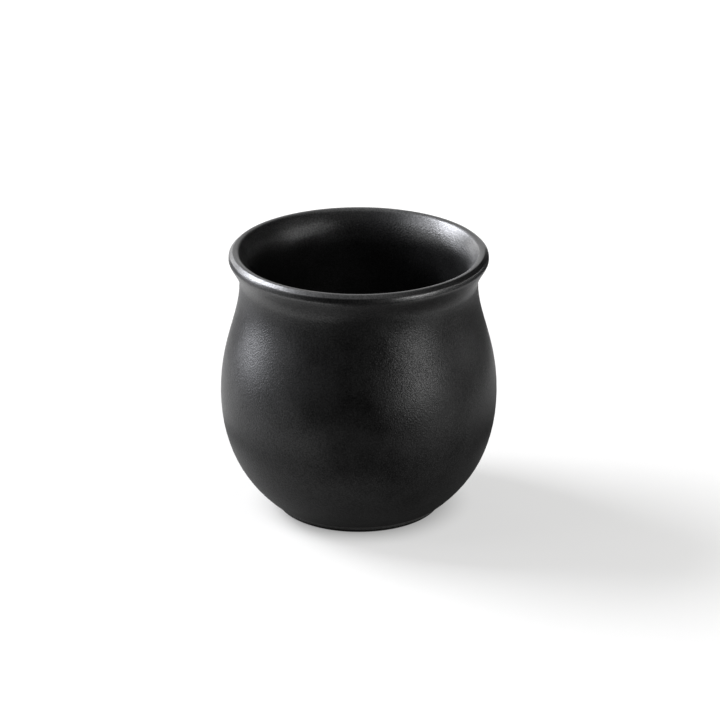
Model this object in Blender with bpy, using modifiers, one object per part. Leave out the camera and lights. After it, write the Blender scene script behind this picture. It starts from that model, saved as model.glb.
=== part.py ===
"""Round-bellied ceramic tasting cup: one turned clay body under three fired glaze coats.

The cup stands on z = 0 and is turned about +Z, in metres. Diameters and heights are those of the
glazed surface. Each coat lies on the clay with a small seat gap, and the foot ring is bare clay.
"""

import math

import bpy
from mathutils import Vector
from mathutils.geometry import interpolate_bezier

# Outside diameters
LIP_DIAMETER = 0.0653
NECK_DIAMETER = 0.0600
BELLY_DIAMETER = 0.0700
FOOT_DIAMETER = 0.0421

# Heights from the table up, each counted from the one before it
BELLY_HEIGHT = 0.03075
NECK_ABOVE_BELLY = 0.0292
LIP_ABOVE_NECK = 0.0085

# Lip: from its crest a short bevel, a rounded corner and a leaning side outside, and a roll into the mouth
LIP_CREST_RADIUS = 0.0007
LIP_BEVEL = 0.0008
LIP_BEVEL_FALL = math.radians(44.0)
LIP_CORNER_RADIUS = 0.00065
LIP_SIDE_LEAN = math.radians(14.0)
LIP_SIDE_RADIUS = 0.0040
LIP_ROLL_RADIUS = 0.0017
LIP_ROLL_TURN = math.radians(51.0)

# Foot: a rounded edge, and a small cove where the belly runs into it at a slant
FOOT_EDGE_RADIUS = 0.0012
FOOT_COVE_HEIGHT = 0.00125
FOOT_COVE_REACH = 0.00165
FOOT_SLANT = math.radians(40.0)
FOOT_RING_WIDTH = 0.0026
FOOT_INNER_RADIUS = 0.0008
RECESS_DEPTH = 0.0016

# Wall and floor, glaze included
WALL = 0.0038
NECK_WALL = 0.0031
FLOOR_THICKNESS = 0.0046
FLOOR_FLAT_DIAMETER = 0.0180

# Glaze coats: their thickness, the gap they keep, and where they stop
GLAZE = 0.0003
SEAT_GAP = 0.0003
LINER_BELOW_RIM = 0.0050
BARE_FOOT = 0.0009

# How long each curve keeps its direction before it bends, as a share of its own rise
LIP_HANG = 0.155
NECK_COVE = 0.427
NECK_FALL = 0.319
BELLY_SHOULDER = 0.470
BELLY_UNDER = 0.456
FOOT_RUN = 0.346
FOOT_COVE_BEND = 0.5
FLARE_FALL = 0.30
MOUTH_RISE = 0.47
INSIDE_UNDER = 0.56
FLOOR_RUN = 0.62

# Colours and roughness of the surfaces
CLAY_COLOUR = (0.018, 0.017, 0.016)
CLAY_ROUGHNESS = 0.79
LINER_COLOUR = (0.007, 0.007, 0.007)
LINER_ROUGHNESS = 0.38
OUTER_COLOUR = (0.008, 0.008, 0.008)
OUTER_ROUGHNESS = 0.44
UNDERSIDE_COLOUR = (0.008, 0.008, 0.008)
UNDERSIDE_ROUGHNESS = 0.48

# Facets of the turned solids: round the axis, along a long curve and a short one, and round a corner
TURN_STEPS = 44
LONG_STEPS = 7
SHORT_STEPS = 3
CORNER_FACET = math.radians(22.5)
WELD = 0.00001

lip_radius = LIP_DIAMETER / 2
neck_radius = NECK_DIAMETER / 2
belly_radius = BELLY_DIAMETER / 2
foot_radius = FOOT_DIAMETER / 2
neck_height = BELLY_HEIGHT + NECK_ABOVE_BELLY
rim_height = neck_height + LIP_ABOVE_NECK
coat_depth = GLAZE + SEAT_GAP


def arc(start, radius, facing, turned_to):
    """Points on a circle from a start point, as the way the curve faces turns from one angle to another."""
    steps = max(1, round(abs(turned_to - facing) / CORNER_FACET))
    centre = start - radius * Vector((math.cos(facing), math.sin(facing)))
    angles = [facing + (turned_to - facing) * step / steps for step in range(steps + 1)]
    return [centre + radius * Vector((math.cos(angle), math.sin(angle))) for angle in angles]


def sweep(start, leaving, arriving, end, steps):
    """Points on a smooth curve that leaves start towards one handle and reaches end from another."""
    return [Vector(point) for point in interpolate_bezier(start, leaving, arriving, end, steps + 1)]


def chain(*stretches):
    """One outline from stretches that each begin where the one before it ends."""
    outline = list(stretches[0])
    for stretch in stretches[1:]:
        outline += stretch[1:]
    return outline


def inset(outline, depth):
    """The outline moved into the wall, which lies on its right-hand side."""
    moved = []
    for index, point in enumerate(outline):
        before = outline[max(index - 1, 0)]
        after = outline[min(index + 1, len(outline) - 1)]
        along = ((point - before).normalized() + (after - point).normalized()).normalized()
        moved.append(point + depth * Vector((along.y, -along.x)))
    return moved


def point_at(outline, height):
    """The point of a falling outline at a height."""
    for upper, lower in zip(outline, outline[1:]):
        if upper.y >= height >= lower.y:
            return upper.lerp(lower, (upper.y - height) / (upper.y - lower.y))


def above(outline, height):
    """The stretch of a falling outline above a height."""
    return [point for point in outline if point.y > height] + [point_at(outline, height)]


def below(outline, height):
    """The stretch of a falling outline below a height."""
    return [point_at(outline, height)] + [point for point in outline if point.y < height]


def lip_edge(crest):
    """The lip's outer edge in section, from its crest over the bevel and the corner to its widest point."""
    bevel_facing = math.pi / 2 - LIP_BEVEL_FALL
    bevel = LIP_BEVEL * Vector((math.cos(LIP_BEVEL_FALL), -math.sin(LIP_BEVEL_FALL)))
    top = arc(crest, LIP_CREST_RADIUS, math.pi / 2, bevel_facing)
    corner = arc(top[-1] + bevel, LIP_CORNER_RADIUS, bevel_facing, LIP_SIDE_LEAN)
    side = arc(corner[-1], LIP_SIDE_RADIUS, LIP_SIDE_LEAN, 0.0)
    return chain(top + corner, side)


def lip_crest():
    """The highest point of the lip in section, set back so that its edge ends at the lip's diameter."""
    widest = lip_edge(Vector((0.0, rim_height)))[-1]
    return Vector((lip_radius - widest.x, rim_height))


def outside():
    """The cup's outside in section, from the crest of the lip down to the table."""
    edge = lip_edge(lip_crest())
    widest = edge[-1]
    neck = Vector((neck_radius, neck_height))
    belly = Vector((belly_radius, BELLY_HEIGHT))
    foot_top = Vector((foot_radius + FOOT_COVE_REACH, FOOT_EDGE_RADIUS + FOOT_COVE_HEIGHT))
    foot_side = Vector((foot_radius, FOOT_EDGE_RADIUS))
    slant = Vector((math.cos(FOOT_SLANT), math.sin(FOOT_SLANT)))
    down = Vector((0.0, -1.0))
    hang = (widest.y - neck.y) * down
    fall = (neck.y - belly.y) * down
    drop = belly.y - foot_top.y
    cove = FOOT_COVE_BEND * FOOT_COVE_HEIGHT
    return chain(
        edge,
        sweep(widest, widest + LIP_HANG * hang, neck - NECK_COVE * hang, neck, LONG_STEPS),
        sweep(neck, neck + NECK_FALL * fall, belly - BELLY_SHOULDER * fall, belly, LONG_STEPS),
        sweep(belly, belly + BELLY_UNDER * drop * down, foot_top + FOOT_RUN * drop * slant, foot_top, LONG_STEPS),
        sweep(foot_top, foot_top - cove * slant, foot_side - cove * down, foot_side, SHORT_STEPS),
        arc(foot_side, FOOT_EDGE_RADIUS, 0.0, -math.pi / 2),
    )


def inside():
    """The cup's inside in section, from the middle of the floor up to the crest of the lip."""
    floor_height = RECESS_DEPTH + FLOOR_THICKNESS
    middle = Vector((0.0, floor_height))
    floor_edge = Vector((FLOOR_FLAT_DIAMETER / 2, floor_height))
    belly = Vector((belly_radius - WALL, BELLY_HEIGHT))
    neck = Vector((neck_radius - NECK_WALL, neck_height))
    roll = arc(lip_crest(), LIP_ROLL_RADIUS, math.pi / 2, math.pi / 2 + LIP_ROLL_TURN)[::-1]
    up = Vector((0.0, 1.0))
    flare = Vector((math.cos(LIP_ROLL_TURN), math.sin(LIP_ROLL_TURN)))
    depth = (belly.y - floor_height) * up
    rise = (neck.y - belly.y) * up
    mouth = roll[0].y - neck.y
    run = Vector((FLOOR_RUN * (belly.x - floor_edge.x), 0.0))
    return chain(
        [middle, floor_edge],
        sweep(floor_edge, floor_edge + run, belly - INSIDE_UNDER * depth, belly, LONG_STEPS),
        sweep(belly, belly + BELLY_SHOULDER * rise, neck - NECK_FALL * rise, neck, LONG_STEPS),
        sweep(neck, neck + MOUTH_RISE * mouth * up, roll[0] - FLARE_FALL * mouth * flare, roll[0], SHORT_STEPS),
        roll,
    )


def recess():
    """The underside in section, from the foot ring's inner edge to the clay at the middle."""
    ring_inner = foot_radius - FOOT_EDGE_RADIUS - FOOT_RING_WIDTH
    edge = arc(Vector((ring_inner, 0.0)), FOOT_INNER_RADIUS, -math.pi / 2, -math.pi)
    ceiling = RECESS_DEPTH + coat_depth
    return edge + [Vector((edge[-1].x, ceiling)), Vector((0.0, ceiling))]


def coat(face):
    """The closed section of a coat whose finished face follows an outline."""
    return face + inset(face, GLAZE)[::-1]


def finish(name, colour, roughness):
    """A ceramic surface of one colour and gloss."""
    material = bpy.data.materials.new(name)
    material.use_nodes = True
    shader = material.node_tree.nodes["Principled BSDF"]
    shader.inputs["Base Color"].default_value = (*colour, 1.0)
    shader.inputs["Roughness"].default_value = roughness
    shader.inputs["Metallic"].default_value = 0.0
    return material


def turned(name, section, ring, material):
    """A solid turned about Z from its section; a ring's section closes on itself off the axis."""
    edges = [(index, index + 1) for index in range(len(section) - 1)]
    if ring:
        edges.append((len(section) - 1, 0))
    mesh = bpy.data.meshes.new(name)
    mesh.from_pydata([(point.x, 0.0, point.y) for point in section], edges, [])
    mesh.materials.append(material)
    piece = bpy.data.objects.new(name, mesh)
    screw = piece.modifiers.new("turn", "SCREW")
    screw.axis = "Z"
    screw.angle = math.tau
    screw.steps = TURN_STEPS
    screw.render_steps = TURN_STEPS
    screw.use_merge_vertices = True
    screw.merge_threshold = WELD
    screw.use_smooth_shade = True
    return piece


def stoneware_body():
    """The clay: all of the cup under its coats, with the bare foot ring standing out flush with the glaze."""
    under_glaze = inset(chain(inside(), above(outside(), BARE_FOOT)), coat_depth)
    foot = below(outside(), BARE_FOOT - SEAT_GAP)
    ledge = Vector((under_glaze[-1].x, foot[0].y))
    material = finish("bare_black_clay", CLAY_COLOUR, CLAY_ROUGHNESS)
    return turned("stoneware_body", under_glaze + [ledge] + foot + recess(), False, material)


def liner_glaze():
    """The coat on the inside, over the lip and down to a line under it."""
    face = chain(inside(), above(outside(), rim_height - LINER_BELOW_RIM))
    material = finish("satin_black_glaze", LINER_COLOUR, LINER_ROUGHNESS)
    return turned("liner_glaze", coat(face), False, material)


def outer_glaze():
    """The coat on the outside, from the liner's edge down to the bare foot."""
    face = above(below(outside(), rim_height - LINER_BELOW_RIM - SEAT_GAP), BARE_FOOT)
    material = finish("matte_black_glaze", OUTER_COLOUR, OUTER_ROUGHNESS)
    return turned("outer_glaze", coat(face), True, material)


def underside_glaze():
    """The coat on the recessed underside, inside the foot ring."""
    radius = foot_radius - FOOT_EDGE_RADIUS - FOOT_RING_WIDTH - FOOT_INNER_RADIUS - SEAT_GAP
    face = [Vector((radius, RECESS_DEPTH)), Vector((0.0, RECESS_DEPTH))]
    section = inset(face, GLAZE)[::-1] + face
    material = finish("underside_black_glaze", UNDERSIDE_COLOUR, UNDERSIDE_ROUGHNESS)
    return turned("underside_glaze", section, False, material)


def main():
    for item in list(bpy.data.objects):
        bpy.data.objects.remove(item, do_unlink=True)
    cup = bpy.data.collections.new("tasting_cup")
    bpy.context.scene.collection.children.link(cup)
    for piece in (stoneware_body(), liner_glaze(), outer_glaze(), underside_glaze()):
        cup.objects.link(piece)


main()
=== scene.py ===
"""Dresses the tasting cup: fine turned surfaces, glazes, bare clay, a white studio and the camera."""

import math

import bmesh
import bpy
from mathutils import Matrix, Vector, noise
from mathutils.geometry import interpolate_bezier


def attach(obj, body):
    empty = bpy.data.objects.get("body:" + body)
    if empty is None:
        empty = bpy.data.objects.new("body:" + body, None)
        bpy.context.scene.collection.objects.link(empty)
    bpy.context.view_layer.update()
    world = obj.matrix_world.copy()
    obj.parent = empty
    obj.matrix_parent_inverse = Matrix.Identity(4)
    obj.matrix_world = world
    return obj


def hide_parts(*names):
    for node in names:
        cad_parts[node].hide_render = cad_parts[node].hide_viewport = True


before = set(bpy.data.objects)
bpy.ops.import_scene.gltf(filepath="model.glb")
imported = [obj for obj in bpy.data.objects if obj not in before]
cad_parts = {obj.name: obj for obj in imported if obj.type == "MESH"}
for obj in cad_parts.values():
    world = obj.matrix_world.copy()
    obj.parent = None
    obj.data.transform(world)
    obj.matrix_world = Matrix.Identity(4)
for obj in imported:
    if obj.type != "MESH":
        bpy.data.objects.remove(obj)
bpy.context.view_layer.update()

# Sizes of the glazed cup in metres, as the solids have them
LIP_DIAMETER = 0.0653
NECK_DIAMETER = 0.0600
BELLY_DIAMETER = 0.0700
FOOT_DIAMETER = 0.0421
BELLY_HEIGHT = 0.03075
NECK_ABOVE_BELLY = 0.0292
LIP_ABOVE_NECK = 0.0085
LIP_CREST_RADIUS = 0.0007
LIP_BEVEL = 0.0008
LIP_BEVEL_FALL = math.radians(44.0)
LIP_CORNER_RADIUS = 0.00065
LIP_SIDE_LEAN = math.radians(14.0)
LIP_SIDE_RADIUS = 0.0040
LIP_ROLL_RADIUS = 0.0017
LIP_ROLL_TURN = math.radians(51.0)
FOOT_EDGE_RADIUS = 0.0012
FOOT_COVE_HEIGHT = 0.00125
FOOT_COVE_REACH = 0.00165
FOOT_SLANT = math.radians(40.0)
FOOT_RING_WIDTH = 0.0026
FOOT_INNER_RADIUS = 0.0008
RECESS_DEPTH = 0.0016
WALL = 0.0038
NECK_WALL = 0.0031
FLOOR_THICKNESS = 0.0046
FLOOR_FLAT_DIAMETER = 0.0180
GLAZE = 0.0003
SEAT_GAP = 0.0003
LINER_BELOW_RIM = 0.0050
BARE_FOOT = 0.0009

# How long each curve keeps its direction before it bends, as a share of its own rise or run
LIP_HANG = 0.155
NECK_COVE = 0.427
NECK_FALL = 0.319
BELLY_SHOULDER = 0.470
BELLY_UNDER = 0.456
FOOT_RUN = 0.346
FOOT_COVE_BEND = 0.5
FLARE_FALL = 0.30
MOUTH_RISE = 0.47
INSIDE_UNDER = 0.56
FLOOR_RUN = 0.62

# Fineness of the turned surfaces, and the slight unevenness of a cast and fired wall
TURN_STEPS = 144
CURVE_STEPS = 14
ARC_STEPS = 10
UNEVEN_DEPTH = 0.00003
UNEVEN_SPAN = 0.013
SHARP_ANGLE = math.radians(35.0)
WELD = 0.000001

lip_radius = LIP_DIAMETER / 2
neck_radius = NECK_DIAMETER / 2
belly_radius = BELLY_DIAMETER / 2
foot_radius = FOOT_DIAMETER / 2
neck_height = BELLY_HEIGHT + NECK_ABOVE_BELLY
rim_height = neck_height + LIP_ABOVE_NECK
meeting_height = rim_height - LINER_BELOW_RIM
coat_depth = GLAZE + SEAT_GAP


def arc(start, radius, facing, turned_to):
    """Points on a circle from a start point, as the way the curve faces turns from one angle to another."""
    centre = start - radius * Vector((math.cos(facing), math.sin(facing)))
    angles = [facing + (turned_to - facing) * step / ARC_STEPS for step in range(ARC_STEPS + 1)]
    return [centre + radius * Vector((math.cos(angle), math.sin(angle))) for angle in angles]


def sweep(start, leaving, arriving, end):
    """Points on a smooth curve that leaves start towards one handle and reaches end from another."""
    return [Vector(point) for point in interpolate_bezier(start, leaving, arriving, end, CURVE_STEPS + 1)]


def chain(*stretches):
    """One outline from stretches that each begin where the one before it ends."""
    outline = list(stretches[0])
    for stretch in stretches[1:]:
        outline += stretch[1:]
    return outline


def inset(outline, depth):
    """The outline moved into the wall, which lies on its right-hand side."""
    moved = []
    for index, point in enumerate(outline):
        before = outline[max(index - 1, 0)]
        after = outline[min(index + 1, len(outline) - 1)]
        along = ((point - before).normalized() + (after - point).normalized()).normalized()
        moved.append(point + depth * Vector((along.y, -along.x)))
    return moved


def point_at(outline, height):
    """The point of a falling outline at a height."""
    for upper, lower in zip(outline, outline[1:]):
        if upper.y >= height >= lower.y:
            return upper.lerp(lower, (upper.y - height) / (upper.y - lower.y))


def above(outline, height):
    """The stretch of a falling outline above a height."""
    return [point for point in outline if point.y > height] + [point_at(outline, height)]


def below(outline, height):
    """The stretch of a falling outline below a height."""
    return [point_at(outline, height)] + [point for point in outline if point.y < height]


def lip_edge(crest):
    """The lip's outer edge in section, from its crest over the bevel and the corner to its widest point."""
    bevel_facing = math.pi / 2 - LIP_BEVEL_FALL
    bevel = LIP_BEVEL * Vector((math.cos(LIP_BEVEL_FALL), -math.sin(LIP_BEVEL_FALL)))
    top = arc(crest, LIP_CREST_RADIUS, math.pi / 2, bevel_facing)
    corner = arc(top[-1] + bevel, LIP_CORNER_RADIUS, bevel_facing, LIP_SIDE_LEAN)
    side = arc(corner[-1], LIP_SIDE_RADIUS, LIP_SIDE_LEAN, 0.0)
    return chain(top + corner, side)


def lip_crest():
    """The highest point of the lip in section, set back so that its edge ends at the lip's diameter."""
    widest = lip_edge(Vector((0.0, rim_height)))[-1]
    return Vector((lip_radius - widest.x, rim_height))


def outside():
    """The cup's outside in section, from the crest of the lip down to the table."""
    edge = lip_edge(lip_crest())
    widest = edge[-1]
    neck = Vector((neck_radius, neck_height))
    belly = Vector((belly_radius, BELLY_HEIGHT))
    foot_top = Vector((foot_radius + FOOT_COVE_REACH, FOOT_EDGE_RADIUS + FOOT_COVE_HEIGHT))
    foot_side = Vector((foot_radius, FOOT_EDGE_RADIUS))
    slant = Vector((math.cos(FOOT_SLANT), math.sin(FOOT_SLANT)))
    down = Vector((0.0, -1.0))
    hang = (widest.y - neck.y) * down
    fall = (neck.y - belly.y) * down
    drop = belly.y - foot_top.y
    cove = FOOT_COVE_BEND * FOOT_COVE_HEIGHT
    return chain(
        edge,
        sweep(widest, widest + LIP_HANG * hang, neck - NECK_COVE * hang, neck),
        sweep(neck, neck + NECK_FALL * fall, belly - BELLY_SHOULDER * fall, belly),
        sweep(belly, belly + BELLY_UNDER * drop * down, foot_top + FOOT_RUN * drop * slant, foot_top),
        sweep(foot_top, foot_top - cove * slant, foot_side - cove * down, foot_side),
        arc(foot_side, FOOT_EDGE_RADIUS, 0.0, -math.pi / 2),
    )


def inside():
    """The cup's inside in section, from the middle of the floor up to the crest of the lip."""
    floor_height = RECESS_DEPTH + FLOOR_THICKNESS
    middle = Vector((0.0, floor_height))
    floor_edge = Vector((FLOOR_FLAT_DIAMETER / 2, floor_height))
    belly = Vector((belly_radius - WALL, BELLY_HEIGHT))
    neck = Vector((neck_radius - NECK_WALL, neck_height))
    roll = arc(lip_crest(), LIP_ROLL_RADIUS, math.pi / 2, math.pi / 2 + LIP_ROLL_TURN)[::-1]
    up = Vector((0.0, 1.0))
    flare = Vector((math.cos(LIP_ROLL_TURN), math.sin(LIP_ROLL_TURN)))
    depth = (belly.y - floor_height) * up
    rise = (neck.y - belly.y) * up
    mouth = roll[0].y - neck.y
    run = Vector((FLOOR_RUN * (belly.x - floor_edge.x), 0.0))
    return chain(
        [middle, floor_edge],
        sweep(floor_edge, floor_edge + run, belly - INSIDE_UNDER * depth, belly),
        sweep(belly, belly + BELLY_SHOULDER * rise, neck - NECK_FALL * rise, neck),
        sweep(neck, neck + MOUTH_RISE * mouth * up, roll[0] - FLARE_FALL * mouth * flare, roll[0]),
        roll,
    )


def recess():
    """The underside in section, from the foot ring's inner edge to the clay at the middle."""
    ring_inner = foot_radius - FOOT_EDGE_RADIUS - FOOT_RING_WIDTH
    edge = arc(Vector((ring_inner, 0.0)), FOOT_INNER_RADIUS, -math.pi / 2, -math.pi)
    ceiling = RECESS_DEPTH + coat_depth
    return edge + [Vector((edge[-1].x, ceiling)), Vector((0.0, ceiling))]


def coat(face):
    """The closed section of a coat whose finished face follows an outline."""
    return face + inset(face, GLAZE)[::-1]


def uneven(place):
    """How far the fired wall stands out or in at a place."""
    return UNEVEN_DEPTH * noise.noise(place / UNEVEN_SPAN)


def placed(name, shape, material):
    """An object made of a finished shape and a material."""
    mesh = bpy.data.meshes.new(name)
    shape.to_mesh(mesh)
    shape.free()
    mesh.materials.append(material)
    made = bpy.data.objects.new(name, mesh)
    bpy.context.scene.collection.objects.link(made)
    return made


def turned(name, section, ring, material):
    """A smooth solid turned about Z from its section; a ring's section closes on itself off the axis."""
    shape = bmesh.new()
    points = [shape.verts.new((point.x, 0.0, point.y)) for point in section]
    edges = [shape.edges.new(pair) for pair in zip(points, points[1:])]
    if ring:
        edges.append(shape.edges.new((points[-1], points[0])))
    bmesh.ops.spin(
        shape,
        geom=points + edges,
        cent=(0.0, 0.0, 0.0),
        axis=(0.0, 0.0, 1.0),
        angle=math.tau,
        steps=TURN_STEPS,
        use_merge=True,
    )
    bmesh.ops.remove_doubles(shape, verts=shape.verts, dist=WELD)
    bmesh.ops.recalc_face_normals(shape, faces=shape.faces)
    for point in shape.verts:
        outward = Vector((point.co.x, point.co.y, 0.0))
        point.co += uneven(point.co) * outward.normalized()
    piece = placed(name, shape, material)
    piece.data.shade_smooth()
    piece.data.set_sharp_from_angle(angle=SHARP_ANGLE)
    return piece


WHITE = (1.0, 1.0, 1.0, 1.0)

# Values that most of a noise lies between, and most of two noises added up
NOISE_LOW = 0.3
NOISE_HIGH = 0.7
MOTTLE_LOW = 0.7
MOTTLE_HIGH = 1.3

# Grain and colour of the glazes; the grain dies away between two depths below the rim
GRAIN_SIZE = 0.00038
GRAIN_DETAIL = 1.0
SPECK_SIZE = 0.00036
SPECK_DETAIL = 0.0
SPECK_SWING = 0.26
CLOUD_SIZE = 0.009
CLOUD_DETAIL = 3.0
GLOSS_SWING = 0.02
SMOOTH_FROM = 0.0030
SMOOTH_FULL = 0.0016
OUTER_DARK = (0.002, 0.002, 0.002)
OUTER_LIGHT = (0.016, 0.016, 0.016)
LINER_DARK = (0.002, 0.002, 0.002)
LINER_LIGHT = (0.012, 0.012, 0.012)
OUTER_GRAIN = 0.00006
LINER_GRAIN = 0.00006

# Sheen of the glazes: the liner's runs out down the neck, half of it at the line where the coats meet
OUTER_ROUGHNESS = 0.38
LINER_ROUGHNESS = 0.35
OUTER_SPECULAR = 0.32
LINER_SPECULAR = 0.83
UNDERSIDE_ROUGHNESS = 0.48
SHEEN_FULL = 0.0022
SHEEN_GONE = 0.0140
MEETING_SHARE = 0.5

# Specks, colour and roughness of the bare clay
CLAY_SPECK_SIZE = 0.0006
CLAY_SPECK_DETAIL = 4.0
CLAY_SPECK_FINENESS = 0.6
CLAY_SPECK_LOW = 0.4
CLAY_SPECK_HIGH = 0.75
CLAY_CLOUD_SIZE = 0.006
CLAY_DARK = (0.010, 0.0095, 0.009)
CLAY_LIGHT = (0.030, 0.028, 0.026)
CLAY_SMOOTHEST = 0.72
CLAY_ROUGHEST = 0.86
CLAY_GRAIN = 0.00004
CLAY_SPECULAR = 0.25


class Nodes:
    """A node tree, with short calls to add and link nodes."""

    def __init__(self, tree):
        self.tree = tree

    def give(self, socket, value):
        """Sets an input to a value, or links it to another node's output."""
        if isinstance(value, bpy.types.NodeSocket):
            self.tree.links.new(value, socket)
        else:
            socket.default_value = value

    def add(self, kind, **inputs):
        """A node with values, or links from other nodes' outputs, on its inputs."""
        made = self.tree.nodes.new(kind)
        for label, value in inputs.items():
            self.give(made.inputs[label.replace("_", " ")], value)
        return made

    def joined(self, operation, first, second):
        """Two values joined by an operation of arithmetic."""
        made = self.add("ShaderNodeMath")
        made.operation = operation
        self.give(made.inputs[0], first)
        self.give(made.inputs[1], second)
        return made.outputs[0]

    def product(self, first, second):
        """One value times another."""
        return self.joined("MULTIPLY", first, second)

    def total(self, first, second):
        """One value plus another."""
        return self.joined("ADD", first, second)

    def spread(self, source, low, high, to_low, to_high, easing="LINEAR"):
        """A value stretched from one range to another and held inside it."""
        made = self.add(
            "ShaderNodeMapRange",
            Value=source,
            From_Min=low,
            From_Max=high,
            To_Min=to_low,
            To_Max=to_high,
        )
        made.interpolation_type = easing
        return made.outputs["Result"]

    def seen(self):
        """1 for rays from the camera and for mirrored or passed rays, so that all meet the white ground."""
        path = self.add("ShaderNodeLightPath")
        either = self.joined("MAXIMUM", path.outputs["Is Camera Ray"], path.outputs["Is Glossy Ray"])
        return self.joined("MAXIMUM", either, path.outputs["Is Transmission Ray"])


class Shader(Nodes):
    """A material's nodes, which give its surface."""

    def __init__(self, name):
        self.material = bpy.data.materials.new(name)
        self.material.use_nodes = True
        super().__init__(self.material.node_tree)
        self.surface = self.tree.nodes["Principled BSDF"]

    def set(self, label, value):
        """Sets an input of the surface to a value, or links it."""
        self.give(self.surface.inputs[label], value)

    def place(self):
        """The spot on the object in metres."""
        return self.add("ShaderNodeTexCoord").outputs["Object"]

    def height(self):
        """The height above the table."""
        return self.add("ShaderNodeSeparateXYZ", Vector=self.place()).outputs["Z"]

    def reach(self):
        """The distance from the axis."""
        flat = self.add("ShaderNodeVectorMath")
        flat.operation = "MULTIPLY"
        self.give(flat.inputs[0], self.place())
        self.give(flat.inputs[1], (1.0, 1.0, 0.0))
        length = self.add("ShaderNodeVectorMath")
        length.operation = "LENGTH"
        self.give(length.inputs[0], flat.outputs["Vector"])
        return length.outputs["Value"]

    def noise(self, size, detail, fineness=0.5):
        """A cloud of lumps of about the given size in metres, with finer lumps on them."""
        made = self.add(
            "ShaderNodeTexNoise",
            Vector=self.place(),
            Scale=1.0 / size,
            Detail=detail,
            Roughness=fineness,
        )
        return made.outputs["Fac"]

    def tone(self, source, dark, light):
        """A colour between two, by a value from 0 to 1."""
        made = self.add("ShaderNodeValToRGB", Fac=source)
        made.color_ramp.elements[0].color = (*dark, 1.0)
        made.color_ramp.elements[1].color = (*light, 1.0)
        return made.outputs["Color"]

    def relief(self, height, depth):
        """Normals of a relief whose height runs from 0 to 1 over the given depth in metres."""
        return self.add("ShaderNodeBump", Height=height, Distance=depth, Strength=1.0).outputs["Normal"]


def glaze(name, dark, light, grain_depth):
    """A black glaze with a cloudy, speckled colour and a fine grain that dies away on the lip."""
    shader = Shader(name)
    fine = shader.noise(GRAIN_SIZE, GRAIN_DETAIL)
    mottle = shader.total(fine, shader.noise(CLOUD_SIZE, CLOUD_DETAIL))
    shade = shader.spread(mottle, MOTTLE_LOW, MOTTLE_HIGH, 0.0, 1.0)
    shader.set("Base Color", shader.tone(shade, dark, light))
    kept = shader.spread(shader.height(), rim_height - SMOOTH_FROM, rim_height - SMOOTH_FULL, 1.0, 0.0)
    shader.set("Normal", shader.relief(shader.product(fine, kept), grain_depth))
    return shader


def cloudy(shader, low, high):
    """A value that swings slowly from place to place between two others."""
    return shader.spread(shader.noise(CLOUD_SIZE, CLOUD_DETAIL), NOISE_LOW, NOISE_HIGH, low, high)


def polish(shader, share):
    """Roughness and reflection between the outer glaze's, at a share of 0, and the liner's, at 1."""
    gloss = shader.spread(share, 0.0, 1.0, OUTER_ROUGHNESS, LINER_ROUGHNESS)
    shader.set("Roughness", shader.total(gloss, cloudy(shader, -GLOSS_SWING, GLOSS_SWING)))
    shine = shader.spread(share, 0.0, 1.0, OUTER_SPECULAR, LINER_SPECULAR)
    lumps = shader.noise(SPECK_SIZE, SPECK_DETAIL)
    speck = shader.spread(lumps, NOISE_LOW, NOISE_HIGH, 1.0 - SPECK_SWING, 1.0 + SPECK_SWING)
    shader.set("Specular IOR Level", shader.product(shine, speck))


def outer_finish():
    """Matte on the belly, with more sheen up the neck."""
    shader = glaze("outer_glaze_finish", OUTER_DARK, OUTER_LIGHT, OUTER_GRAIN)
    share = shader.spread(shader.height(), rim_height - SHEEN_GONE, meeting_height, 0.0, MEETING_SHARE)
    polish(shader, share)
    return shader.material


def liner_finish():
    """Satin inside and on the lip, with less sheen where it runs down outside to meet the outer glaze."""
    shader = glaze("liner_glaze_finish", LINER_DARK, LINER_LIGHT, LINER_GRAIN)
    fallen = shader.spread(shader.height(), meeting_height, rim_height - SHEEN_FULL, 1.0, 0.0)
    outside_share = shader.spread(shader.reach(), neck_radius, lip_crest().x, 0.0, 1.0)
    polish(shader, shader.spread(shader.product(fallen, outside_share), 0.0, 1.0, 1.0, MEETING_SHARE))
    return shader.material


def underside_finish():
    """Matte, as on the belly."""
    shader = glaze("underside_glaze_finish", OUTER_DARK, OUTER_LIGHT, OUTER_GRAIN)
    low = UNDERSIDE_ROUGHNESS - GLOSS_SWING
    high = UNDERSIDE_ROUGHNESS + GLOSS_SWING
    shader.set("Roughness", cloudy(shader, low, high))
    shader.set("Specular IOR Level", OUTER_SPECULAR)
    return shader.material


def bare_clay():
    """Dry black stoneware with fine pale and dark specks."""
    shader = Shader("bare_clay")
    speck = shader.noise(CLAY_SPECK_SIZE, CLAY_SPECK_DETAIL, CLAY_SPECK_FINENESS)
    cloud = shader.noise(CLAY_CLOUD_SIZE, CLOUD_DETAIL)
    shade = shader.spread(speck, CLAY_SPECK_LOW, CLAY_SPECK_HIGH, 0.0, 1.0)
    shader.set("Base Color", shader.tone(shade, CLAY_DARK, CLAY_LIGHT))
    shader.set("Roughness", shader.spread(cloud, NOISE_LOW, NOISE_HIGH, CLAY_SMOOTHEST, CLAY_ROUGHEST))
    shader.set("Normal", shader.relief(speck, CLAY_GRAIN))
    shader.set("Specular IOR Level", CLAY_SPECULAR)
    return shader.material


def dress(piece, node):
    """Puts a piece in the place of its solid."""
    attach(piece, "root")
    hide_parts(node)


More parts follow.
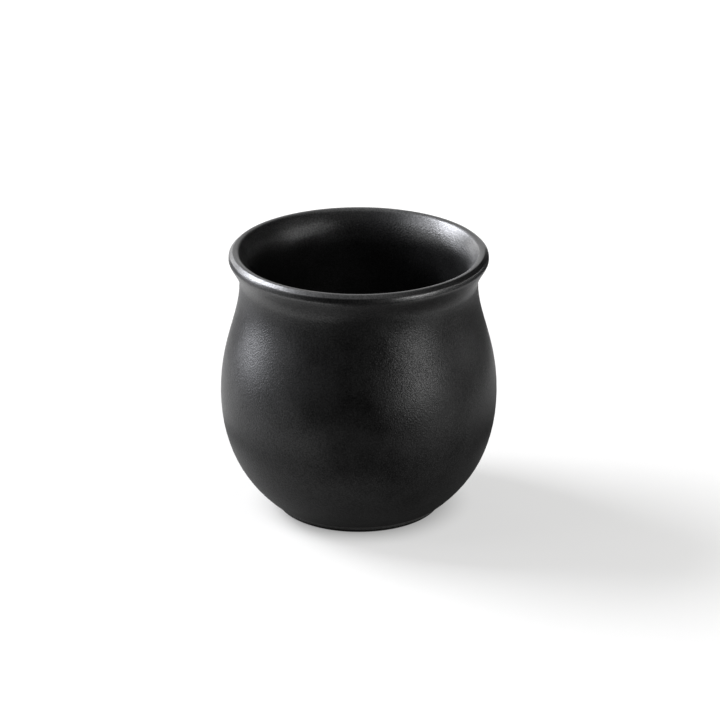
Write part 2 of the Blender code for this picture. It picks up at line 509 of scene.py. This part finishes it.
def make_cup():
    """The clay body and its three coats of glaze."""
    liner_face = chain(inside(), above(outside(), meeting_height))
    liner = turned("cup_liner", coat(liner_face), False, liner_finish())
    dress(liner, "liner_glaze")
    outer_face = above(below(outside(), meeting_height), BARE_FOOT)
    outer = turned("cup_outer", coat(outer_face), True, outer_finish())
    dress(outer, "outer_glaze")
    under_glaze = inset(chain(inside(), above(outside(), BARE_FOOT)), coat_depth)
    foot = below(outside(), BARE_FOOT - SEAT_GAP)
    ledge = Vector((under_glaze[-1].x, foot[0].y))
    clay = turned("cup_clay", under_glaze + [ledge] + foot + recess(), False, bare_clay())
    dress(clay, "stoneware_body")
    radius = foot_radius - FOOT_EDGE_RADIUS - FOOT_RING_WIDTH - FOOT_INNER_RADIUS - SEAT_GAP
    face = [Vector((radius, RECESS_DEPTH)), Vector((0.0, RECESS_DEPTH))]
    underside = turned("cup_underside", inset(face, GLAZE)[::-1] + face, False, underside_finish())
    dress(underside, "underside_glaze")


def direction(azimuth, elevation):
    """A unit vector seen from the cup: azimuth 0 points to the camera's side, 90 degrees to the right."""
    flat = math.cos(elevation)
    return Vector((flat * math.sin(azimuth), -flat * math.cos(azimuth), math.sin(elevation)))


def matte(name, colour):
    """A surface without gloss, for what stands round the cup."""
    shader = Shader(name)
    shader.set("Base Color", (*colour, 1.0))
    shader.set("Roughness", 1.0)
    shader.set("Specular IOR Level", 0.0)
    return shader


# The floor, and its glow for seen rays, which fades out towards the cup's foot and so paints shade on the
# floor round the foot: where each ring of it starts and ends, and what it adds
FLOOR_COLOUR = (0.389, 0.384, 0.366)
FLOOR_RADIUS = 6.0
FLOOR_SEGMENTS = 96
FLOOR_GLOW_RINGS = ((0.010, 0.030, 0.60), (0.05, 0.25, 0.12))


def make_floor():
    """A pale disc that glows to white for seen rays, with painted shade where the glow fades towards the
    foot, and keeps the cup's shadow.
    """
    shape = bmesh.new()
    bmesh.ops.create_circle(shape, cap_ends=True, segments=FLOOR_SEGMENTS, radius=FLOOR_RADIUS)
    shader = matte("floor", FLOOR_COLOUR)
    shader.set("Emission Color", WHITE)
    reach = shader.reach()
    # The glow is weaker near the cup: painted shade round the foot
    glow = 0.0
    for start, end, level in FLOOR_GLOW_RINGS:
        glow = shader.total(glow, shader.spread(reach, start, end, 0.0, level, "SMOOTHSTEP"))
    shader.set("Emission Strength", shader.product(shader.seen(), glow))
    floor = placed("floor", shape, shader.material)


# The light from all round, and how the white that is seen dims overhead
AMBIENT = 0.16
CEILING = 0.75
CEILING_FROM = math.radians(55.0)
CEILING_TO = math.radians(75.0)


def make_world():
    """White where it is seen, and a weak even light elsewhere."""
    world = bpy.data.worlds.new("studio")
    world.use_nodes = True
    nodes = Nodes(world.node_tree)
    sky = nodes.add("ShaderNodeTexCoord").outputs["Generated"]
    up = nodes.add("ShaderNodeSeparateXYZ", Vector=sky).outputs["Z"]
    white = nodes.spread(up, math.sin(CEILING_FROM), math.sin(CEILING_TO), 1.0, CEILING)
    background = nodes.tree.nodes["Background"]
    nodes.give(background.inputs["Color"], WHITE)
    nodes.give(background.inputs["Strength"], nodes.spread(nodes.seen(), 0.0, 1.0, AMBIENT, white))
    bpy.context.scene.world = world


# Black card that only reflections see, which paints dark reflections on the cup: it stands in front and on
# the right, and lies on the floor
CARD_COLOUR = (0.01, 0.01, 0.01)
CARD_REACH = 2.2
CARD_TOP = 4.4
CARD_LIFT = 0.001
CARD_PANELS = 48
CARD_FROM = math.radians(-57.0)
CARD_TO = math.radians(160.0)
CARD_NEAR = 0.054
CARD_ASIDE = 0.155
CARD_FRONT = math.radians(8.0)
CARD_FRONT_HALF = math.radians(20.0)
CARD_BLEND = math.radians(30.0)
CARD_FADE = 0.012
APRON_COVER = 0.93
APRON_FULL = 0.30

# Its part on the left, which darkens the cup's reflection of the floor farther out: a painted dark reflection
LEFT_FROM = math.radians(-150.0)
LEFT_NEAR = 0.19
LEFT_FADE = 0.03
LEFT_COVER = 0.9

# Its ring round the foot, a painted shadow of the floor round the foot that only the cup's reflections see:
# it covers more on the right than on the left and runs out far to the right
RING_LIFT = 0.002
RING_FOOT = 0.0205
RING_DIP = 0.046
RING_FULL = 0.062
RING_EDGE = 0.070
RING_SPREAD = 0.080
RING_SPREAD_TOWARD = math.radians(125.0)
RING_FOOT_COVER = (0.85, 0.10)
RING_DIP_COVER = (0.54, 0.22)
RING_FULL_COVER = (0.92, 0.08)


def card_near(turn):
    """How near the standing card's apron comes to the cup on the floor: nearest in front."""
    aside = (abs(turn - CARD_FRONT) - CARD_FRONT_HALF) / CARD_BLEND
    return CARD_NEAR + (CARD_ASIDE - CARD_NEAR) * min(max(aside, 0.0), 1.0)


def ring_edge(turn):
    """How far the ring of card reaches: farthest on the right towards the back."""
    return RING_EDGE + RING_SPREAD * max(math.cos(turn - RING_SPREAD_TOWARD), 0.0) ** 2


def always(value):
    """A value that is the same for every turn."""
    return lambda turn: value


def leaning(middle, swing):
    """A value that is larger by the swing on the right and smaller by it on the left."""
    return lambda turn: middle + swing * math.sin(turn)


def add_card(shape, start, end, *edges):
    """Panels of card round the cup, through edges with a height, and a reach and a cover for each turn."""
    cover = shape.verts.layers.float["cover"]
    turns = [start + (end - start) * step / CARD_PANELS for step in range(CARD_PANELS + 1)]
    rings = []
    for reach, height, amount in edges:
        ring = []
        for turn in turns:
            spot = reach(turn) * direction(turn, 0.0)
            point = shape.verts.new((spot.x, spot.y, height))
            point[cover] = amount(turn)
            ring.append(point)
        rings.append(ring)
    for inner, outer in zip(rings, rings[1:]):
        for index in range(CARD_PANELS):
            shape.faces.new((inner[index], inner[index + 1], outer[index + 1], outer[index]))


def make_card():
    """Black card with soft edges, seen only in reflections, which paints dark reflections and, with the ring,
    a painted shadow round the foot: the standing one, the left one and the ring.
    """
    shape = bmesh.new()
    shape.verts.layers.float.new("cover")
    add_card(
        shape,
        CARD_FROM,
        CARD_TO,
        (lambda turn: card_near(turn) - CARD_FADE, CARD_LIFT, always(0.0)),
        (lambda turn: card_near(turn) + CARD_FADE, CARD_LIFT, always(APRON_COVER)),
        (always(APRON_FULL), CARD_LIFT, always(1.0)),
        (always(CARD_REACH), CARD_LIFT, always(1.0)),
        (always(CARD_REACH), CARD_TOP, always(1.0)),
    )
    add_card(
        shape,
        LEFT_FROM,
        CARD_FROM,
        (always(LEFT_NEAR - LEFT_FADE), CARD_LIFT, always(0.0)),
        (always(LEFT_NEAR + LEFT_FADE), CARD_LIFT, always(LEFT_COVER)),
        (always(CARD_REACH), CARD_LIFT, always(LEFT_COVER)),
    )
    # The ring: painted shadow of the floor round the foot, seen only in the cup's reflections
    add_card(
        shape,
        0.0,
        math.tau,
        (always(RING_FOOT), RING_LIFT, leaning(*RING_FOOT_COVER)),
        (always(RING_DIP), RING_LIFT, leaning(*RING_DIP_COVER)),
        (always(RING_FULL), RING_LIFT, leaning(*RING_FULL_COVER)),
        (ring_edge, RING_LIFT, always(0.0)),
    )
    shader = matte("card", CARD_COLOUR)
    cover = shader.add("ShaderNodeAttribute")
    cover.attribute_name = "cover"
    shader.set("Alpha", cover.outputs["Fac"])
    card = placed("card", shape, shader.material)
    card.visible_camera = False
    card.visible_diffuse = False
    card.visible_shadow = False


# Colours of the lamps, and how far they stand from the cup on each side
NEUTRAL = (1.0, 1.0, 1.0)
COOL = (0.97, 0.985, 1.05)
LEFT_LAMPS = 2.6
RIGHT_LAMPS = 1.9


def softbox(name, azimuth, elevation, distance, size, level, colour=NEUTRAL):
    """An area lamp aimed at the cup; a level of 1 lights a white face that it meets squarely to white."""
    lamp = bpy.data.lights.new(name, "AREA")
    lamp.shape = "RECTANGLE"
    lamp.size, lamp.size_y = size
    lamp.energy = level * math.pi ** 2 * distance ** 2
    lamp.color = colour
    holder = bpy.data.objects.new(name, lamp)
    toward = direction(math.radians(azimuth), math.radians(elevation))
    holder.location = Vector((0.0, 0.0, rim_height / 2)) + distance * toward
    holder.rotation_euler = (-toward).to_track_quat("-Z", "Y").to_euler()
    bpy.context.scene.collection.objects.link(holder)


def make_lamps():
    """A large cool light and its helpers on the left, and weaker ones on the right; angles in degrees."""
    softbox("key", -114.0, 37.5, LEFT_LAMPS, size=(1.2, 1.15), level=1.4, colour=COOL)
    softbox("strip", -107.0, 4.0, LEFT_LAMPS, size=(1.2, 0.34), level=0.54, colour=COOL)
    softbox("wing", -76.0, 40.0, LEFT_LAMPS, size=(0.9, 0.9), level=0.10, colour=COOL)
    softbox("rim", -146.0, 12.0, LEFT_LAMPS, size=(0.6, 0.5), level=0.05)
    softbox("fill", 53.0, 3.4, RIGHT_LAMPS, size=(1.0, 0.24), level=0.315)
    softbox("glow", 46.0, 33.0, RIGHT_LAMPS, size=(0.6, 0.5), level=0.065)
    softbox("side", 72.0, 22.0, RIGHT_LAMPS, size=(0.6, 0.7), level=0.08)
    softbox("edge", 108.0, 4.0, RIGHT_LAMPS, size=(1.6, 0.2), level=0.10)


# The photograph's camera, in its frame of 720 by 720 pixels
IMAGE_SIZE = 720
SENSOR = 36.0
FOCAL_PIXELS = 3941.0
CAMERA_DISTANCE = 1.0
CAMERA_ELEVATION = math.radians(22.35)
AIM_HEIGHT = 0.033
AIM_PIXEL = (358.8, 380.6)


def make_camera():
    """Looks at the cup as the photograph does, turned a little so that the cup sits in the frame as there."""
    data = bpy.data.cameras.new("camera")
    data.sensor_width = SENSOR
    data.lens = FOCAL_PIXELS / IMAGE_SIZE * SENSOR
    camera = bpy.data.objects.new("camera", data)
    back = direction(0.0, CAMERA_ELEVATION)
    up = Vector((0.0, math.sin(CAMERA_ELEVATION), math.cos(CAMERA_ELEVATION)))
    metres = CAMERA_DISTANCE / FOCAL_PIXELS
    aim = Vector((0.0, 0.0, AIM_HEIGHT))
    aside = Vector(((IMAGE_SIZE / 2 - AIM_PIXEL[0]) * metres, 0.0, 0.0))
    centre = aim + aside + (AIM_PIXEL[1] - IMAGE_SIZE / 2) * metres * up
    camera.location = aim + CAMERA_DISTANCE * back
    camera.rotation_euler = (centre - camera.location).to_track_quat("-Z", "Y").to_euler()
    bpy.context.scene.collection.objects.link(camera)
    bpy.context.scene.camera = camera


make_cup()
make_floor()
make_world()
make_card()
make_lamps()
make_camera()
bpy.context.scene.view_settings.view_transform = "Standard"
